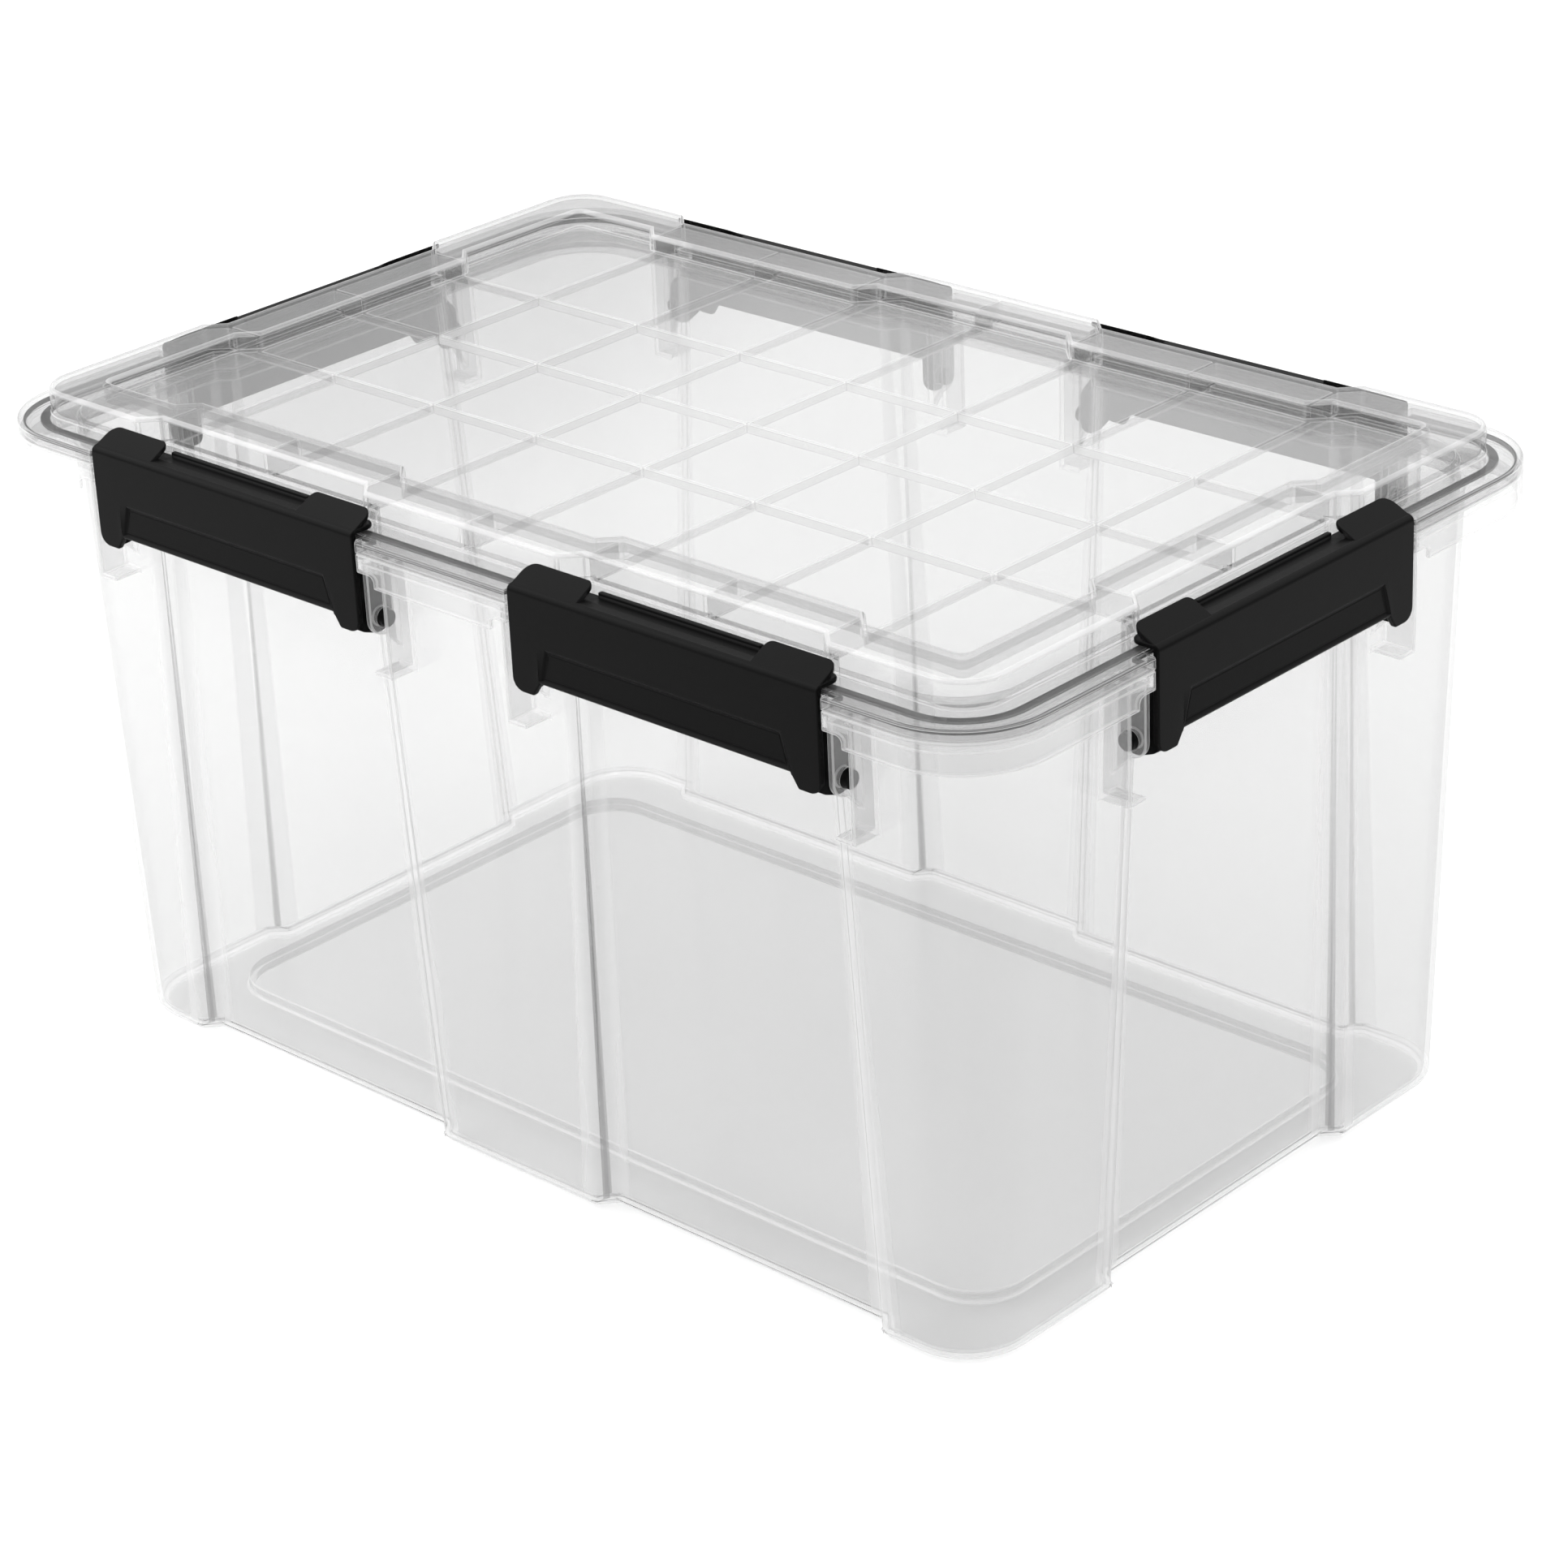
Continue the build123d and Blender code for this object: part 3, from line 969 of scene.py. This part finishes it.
    def sink_grip(self, bm: bmesh.types.BMesh) -> None:
        """Sink the grip into the outer face, round what is sharp, and fold ridges into it."""
        outer = [face for face in bm.faces if face.normal.y < -0.99]
        slice_at(bm, (0, 0, self.grip_top), (0, 0, 1), outer)
        rise = self.grip_top - self.wall_low
        for end in (-1, 1):
            front = [face for face in bm.faces if self.is_front(face, 0.0)]
            normal = (rise * end, 0, self.grip_taper)
            slice_at(bm, (end * self.grip_half, 0, self.wall_low), normal, front)
        grip = [
            face
            for face in bm.faces
            if self.is_front(face, 0.0)
            and abs(face.calc_center_median().x) < self.grip_half - self.grip_taper
        ]
        bmesh.ops.inset_region(bm, faces=grip, thickness=self.grip_border, use_even_offset=True)
        floor = list(dict.fromkeys(vert for face in grip for vert in face.verts))
        bmesh.ops.translate(bm, vec=(0, self.grip_depth, 0), verts=floor)
        round_edges(bm, self.edge_round, segments=3, sharpest=40.0)
        low = self.wall_low + self.wall_low_round + self.grip_border + self.ridge_margin
        high = self.grip_top - self.grip_border - self.ridge_margin
        steps = 2 * self.ridges
        for step in range(steps + 1):
            height = low + (high - low) * step / steps
            inner = [face for face in bm.faces if self.is_front(face, self.grip_depth)]
            slice_at(bm, (0, 0, height), (0, 0, 1), inner)
        crests = [low + (high - low) * step / steps for step in range(1, steps, 2)]
        for vert in bm.verts:
            on_floor = abs(vert.co.y - self.grip_depth) < 0.01
            if on_floor and any(abs(vert.co.z - crest) < 0.01 for crest in crests):
                vert.co.y -= self.ridge_height

    def rail(self) -> bmesh.types.BMesh:
        """Make the rail that stiffens the inner edge of the hook."""
        near, far = self.hook_reach - self.rail_thick, self.hook_reach
        low = self.top - self.hook_plate - self.rail_root
        high = self.top + self.rail_rise
        section = ((near, low), (near, high), (far, high), (far, low))
        bm = prism([(-self.rail_half, y, z) for y, z in section], (2 * self.rail_half, 0, 0))
        round_edges(bm, self.rail_round, segments=3)
        return bm

    def tab(self, end: int) -> bmesh.types.BMesh:
        """Make the raised tab at one end of the hook, with its corners cut back."""
        under = self.top - self.hook_plate
        section = (
            (self.wall / 2, self.top - self.tab_root),
            (self.tab_reach, self.tab_top),
            (self.tab_reach, self.tab_top - self.hook_plate),
            (self.wall + 1, under + 0.1),
        )
        span = end * (self.half - self.tab_near - self.leg_inset)
        bm = prism([(end * self.tab_near, y, z) for y, z in section], (span, 0, 0))
        outer = self.half - self.leg_inset
        self.round_where(bm, self.tab_outer_cut, x=outer, y=self.tab_reach, segments=5)
        self.round_where(bm, self.tab_inner_cut, x=self.tab_near, y=self.tab_reach, segments=5)
        round_edges(bm, self.tab_round, segments=3, sharpest=40.0)
        return bm

    def leg(self, end: int) -> bmesh.types.BMesh:
        """Make the leg at one end, with its lobe round the pin."""
        outer = end * (self.half - self.leg_inset)
        section = (
            (self.leg_front, self.lobe_low + self.leg_foot),
            (self.leg_front, self.leg_top),
            (self.leg_shoulder, self.leg_top),
            (self.leg_depth, self.leg_back_top),
            (self.leg_depth, -self.boss_radius),
            (self.pin_inset - self.leg_heel, -self.boss_radius),
            (self.leg_chamfer, self.lobe_low - self.leg_drop),
        )
        bm = prism([(outer, y, z) for y, z in section], (-end * self.leg_thick, 0, 0))
        back, foot = self.leg_depth, -self.boss_radius
        self.round_where(bm, self.boss_round, y=back, z=foot, segments=8)
        self.round_where(bm, self.leg_back_round, y=back, z=self.leg_back_top, segments=4)
        self.round_where(bm, self.leg_top_round, y=self.leg_shoulder, z=self.leg_top, segments=4)
        round_edges(bm, self.leg_round, segments=3, sharpest=40.0)
        return bm

    def pin(self, end: int) -> bmesh.types.BMesh:
        """Make the stub pin at one end."""
        root = self.half - self.leg_inset - self.pin_root
        bm = bmesh.new()
        turn = Matrix.Rotation(math.radians(90), 4, "Y")
        middle = end * (root + self.pin_reach) / 2
        bmesh.ops.create_cone(
            bm,
            cap_ends=True,
            segments=40,
            radius1=self.pin_radius,
            radius2=self.pin_radius,
            depth=self.pin_reach - root,
            matrix=Matrix.Translation((middle, self.pin_inset, 0)) @ turn,
        )
        round_edges(bm, self.pin_round, segments=3, sharpest=60.0)
        return bm

    def model(self) -> bpy.types.Mesh:
        """Fuse the latch's parts into one moulding.

        Returns:
            Its mesh, in millimetres, before it is placed.
        """
        parts = [self.shell(), self.rail()]
        for end in (-1, 1):
            parts += [self.tab(end), self.leg(end), self.pin(end)]
        return fused(parts)

    def place(self, node: str, side: Side) -> Matrix:
        """Work out where a latch goes from its CAD node's box and its hinge.

        Args:
            node: the CAD node's name.
            side: the side of the box that it is on.

        Returns:
            The matrix from the latch's own frame to the box's, in metres.
        """
        low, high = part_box(node)
        middle = (low + high) / 2
        faces = {
            Side.FRONT: (middle.x, low.y),
            Side.BACK: (middle.x, high.y),
            Side.LEFT: (low.x, middle.y),
            Side.RIGHT: (high.x, middle.y),
        }
        hinge = next(joint for joint in frame["joints"] if joint["child"] == node)
        x, y = faces[side]
        turn = Matrix.Rotation(math.radians(side.value), 4, "Z")
        return Matrix.Translation((x, y, hinge["pos_m"][2])) @ turn

    def build(self) -> list[bpy.types.Object]:
        """Build the six latches from one model."""
        model = self.model()
        pieces = []
        for node in (name for name in frame["bodies"] if name.startswith("latch_")):
            side = Side[node.removeprefix("latch_").split("_")[0].upper()]
            bm = bmesh.new()
            bm.from_mesh(model)
            pieces.append(
                finish_piece(
                    bm,
                    f"moulded_{node}",
                    node,
                    self.material,
                    [node],
                    self.place(node, side),
                )
            )
        return pieces


# ---- Studio -------------------------------------------------------------------------------
@dataclass
class Studio:
    """Pale floor, soft light and the camera."""

    camera_mm: tuple[float, float, float] = (1294.9, -1345.2, 1009.7)
    target_mm: tuple[float, float, float] = (51.1, -40.4, 160.0)
    roll_degrees: float = -2.65
    lens_mm: float = 102.5
    sensor_mm: float = 36.0
    floor_size_m: float = 14.0
    floor_drop_mm: float = 0.3
    aimed_at: tuple[float, float, float] = (0.0, 0.0, 0.15)
    room_strength: float = 0.5
    softboxes: list[tuple[str, tuple[float, float, float], float, float]] = field(
        default_factory=lambda: [
            ("ceiling_softbox", (0.0, 0.6, 3.0), 8.0, 160.0),
            ("front_softbox", (-1.56, -1.06, 1.64), 2.4, 38.0),
            ("end_softbox", (1.05, 1.64, 1.56), 1.8, 9.0),
        ]
    )

    def place_camera(self) -> None:
        """Add the camera and make it the scene's."""
        data = bpy.data.cameras.new("studio_camera")
        data.lens = self.lens_mm
        data.sensor_width = self.sensor_mm
        camera = bpy.data.objects.new("studio_camera", data)
        bpy.context.scene.collection.objects.link(camera)
        place = Vector(self.camera_mm) * MM
        sight = Vector(self.target_mm) * MM - place
        turn = sight.to_track_quat("-Z", "Y").to_matrix().to_4x4()
        roll = Matrix.Rotation(math.radians(self.roll_degrees), 4, "Z")
        camera.matrix_world = Matrix.Translation(place) @ turn @ roll
        bpy.context.scene.camera = camera

    def lay_floor(self) -> None:
        """Lay the floor just under the box."""
        bm = bmesh.new()
        bmesh.ops.create_grid(bm, x_segments=1, y_segments=1, size=self.floor_size_m / 2)
        bmesh.ops.translate(bm, vec=(0, 0, -self.floor_drop_mm * MM), verts=bm.verts)
        mesh = bpy.data.meshes.new("studio_floor")
        bm.to_mesh(mesh)
        bm.free()
        mesh.materials.append(PalePaper().build())
        floor = bpy.data.objects.new("studio_floor", mesh)
        bpy.context.scene.collection.objects.link(floor)

    def hang_lights(self) -> None:
        """Hang the softboxes, all aimed at the middle of the box, in a white room."""
        for name, place, size, watts in self.softboxes:
            data = bpy.data.lights.new(name, "AREA")
            data.shape = "SQUARE"
            data.size = size
            data.energy = watts
            lamp = bpy.data.objects.new(name, data)
            bpy.context.scene.collection.objects.link(lamp)
            spot = Vector(place)
            aim = Vector(self.aimed_at) - spot
            lamp.matrix_world = (
                Matrix.Translation(spot) @ aim.to_track_quat("-Z", "Y").to_matrix().to_4x4()
            )
        world = bpy.data.worlds.new("white_room")
        world.use_nodes = True
        world.node_tree.nodes.clear()
        room = add_node(
            world.node_tree,
            "ShaderNodeBackground",
            None,
            {"Color": linear("ffffff"), "Strength": self.room_strength},
        )
        backdrop = add_node(
            world.node_tree,
            "ShaderNodeBackground",
            None,
            {"Color": linear("ffffff"), "Strength": 1.0},
        )
        path = add_node(world.node_tree, "ShaderNodeLightPath")
        mix = add_node(
            world.node_tree,
            "ShaderNodeMixShader",
            None,
            {0: path.outputs["Is Camera Ray"], 1: room.outputs[0], 2: backdrop.outputs[0]},
        )
        add_node(world.node_tree, "ShaderNodeOutputWorld", None, {0: mix.outputs[0]})
        bpy.context.scene.world = world

    def build(self) -> None:
        """Set up the whole studio."""
        self.place_camera()
        self.lay_floor()
        self.hang_lights()
        bpy.context.scene.view_settings.view_transform = "Standard"


def main() -> None:
    """Build every piece, then the studio."""
    logging.basicConfig(level=logging.INFO, format="%(name)s: %(message)s")
    clear = ClearPolypropylene().build()
    # painted shade: the lid's copy of the clear plastic has a much darker haze colour, which holds
    # down its top where the ceiling softbox lights it
    lid_clear_painted_shade = ClearPolypropylene(
        name="clear_polypropylene_painted_shade_lid", wall_hex="8c8c8c", wall_haze=0.11
    ).build()
    black = SatinBlackPolypropylene().build()
    rubber = SoftElastomer().build()
    BinTub(clear).build()
    Lid(lid_clear_painted_shade).build()
    Gasket(rubber).build()
    Latch(black).build()
    Studio().build()


if __name__ == "__main__":
    main()
